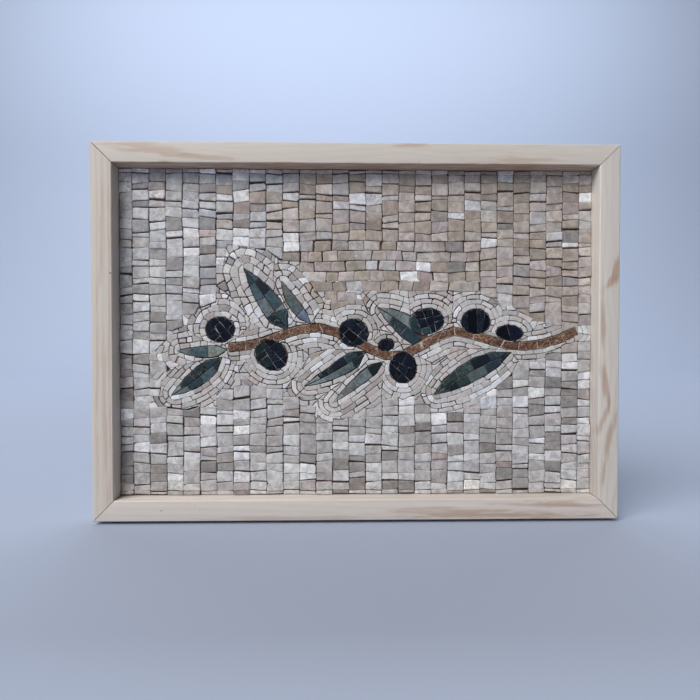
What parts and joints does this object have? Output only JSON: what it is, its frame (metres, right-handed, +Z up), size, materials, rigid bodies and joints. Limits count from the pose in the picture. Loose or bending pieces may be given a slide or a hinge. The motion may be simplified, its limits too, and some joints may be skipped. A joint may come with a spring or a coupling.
{
  "type": "framed mosaic panel",
  "caption": "Wall panel of hand-cut stone mosaic with an olive sprig on a plain ground, set back in a plain mitred pine frame.",
  "frame": {"origin": "middle of the panel's flat back, where it touches the wall", "axes": "+X along the panel's width, to the right for someone facing the picture; +Y into the wall, so the picture faces -Y; +Z up"},
  "size_m": [0.315, 0.022, 0.225],
  "materials": {
    "pine": "bare sanded pine, pale with pinkish-brown streaks",
    "plywood": "bare plywood",
    "adhesive": "matt tile adhesive",
    "ground_stone": "honed marble, grey, beige and white",
    "outline_stone": "honed pale marble",
    "olive_stone": "honed blue-black marble",
    "leaf_stone": "honed green marble",
    "branch_stone": "rough rust-brown stone"
  },
  "bodies": {
    "root": {"top_rail": "pine", "bottom_rail": "pine", "left_rail": "pine", "right_rail": "pine", "backing_board": "plywood", "adhesive_bed": "adhesive", "olive_1": "olive_stone", "olive_2": "olive_stone", "olive_3": "olive_stone", "olive_4": "olive_stone", "olive_5": "olive_stone", "olive_6": "olive_stone", "olive_7": "olive_stone", "olive_8": "olive_stone", "branch_1": "branch_stone", "branch_2": "branch_stone", "leaf_1_row_1": "leaf_stone", "leaf_1_row_2": "leaf_stone", "leaf_2": "leaf_stone", "leaf_3": "leaf_stone", "leaf_4_row_1": "leaf_stone", "leaf_4_row_2": "leaf_stone", "leaf_5_row_1": "leaf_stone", "leaf_5_row_2": "leaf_stone", "leaf_6": "leaf_stone", "leaf_7_row_1": "leaf_stone", "leaf_7_row_2": "leaf_stone", "leaf_8_row_1": "leaf_stone", "leaf_8_row_2": "leaf_stone", "outline_field_1": "outline_stone", "side_ground_1": "ground_stone", "upper_ground_2": "ground_stone", "lower_ground_2": "ground_stone", "upper_ground_3": "ground_stone", "lower_ground_3": "ground_stone", "upper_ground_4": "ground_stone", "lower_ground_4": "ground_stone", "upper_ground_5": "ground_stone", "lower_ground_5": "ground_stone", "side_ground_6": "ground_stone", "level_rows": "ground_stone"}
  },
  "joints": []
}
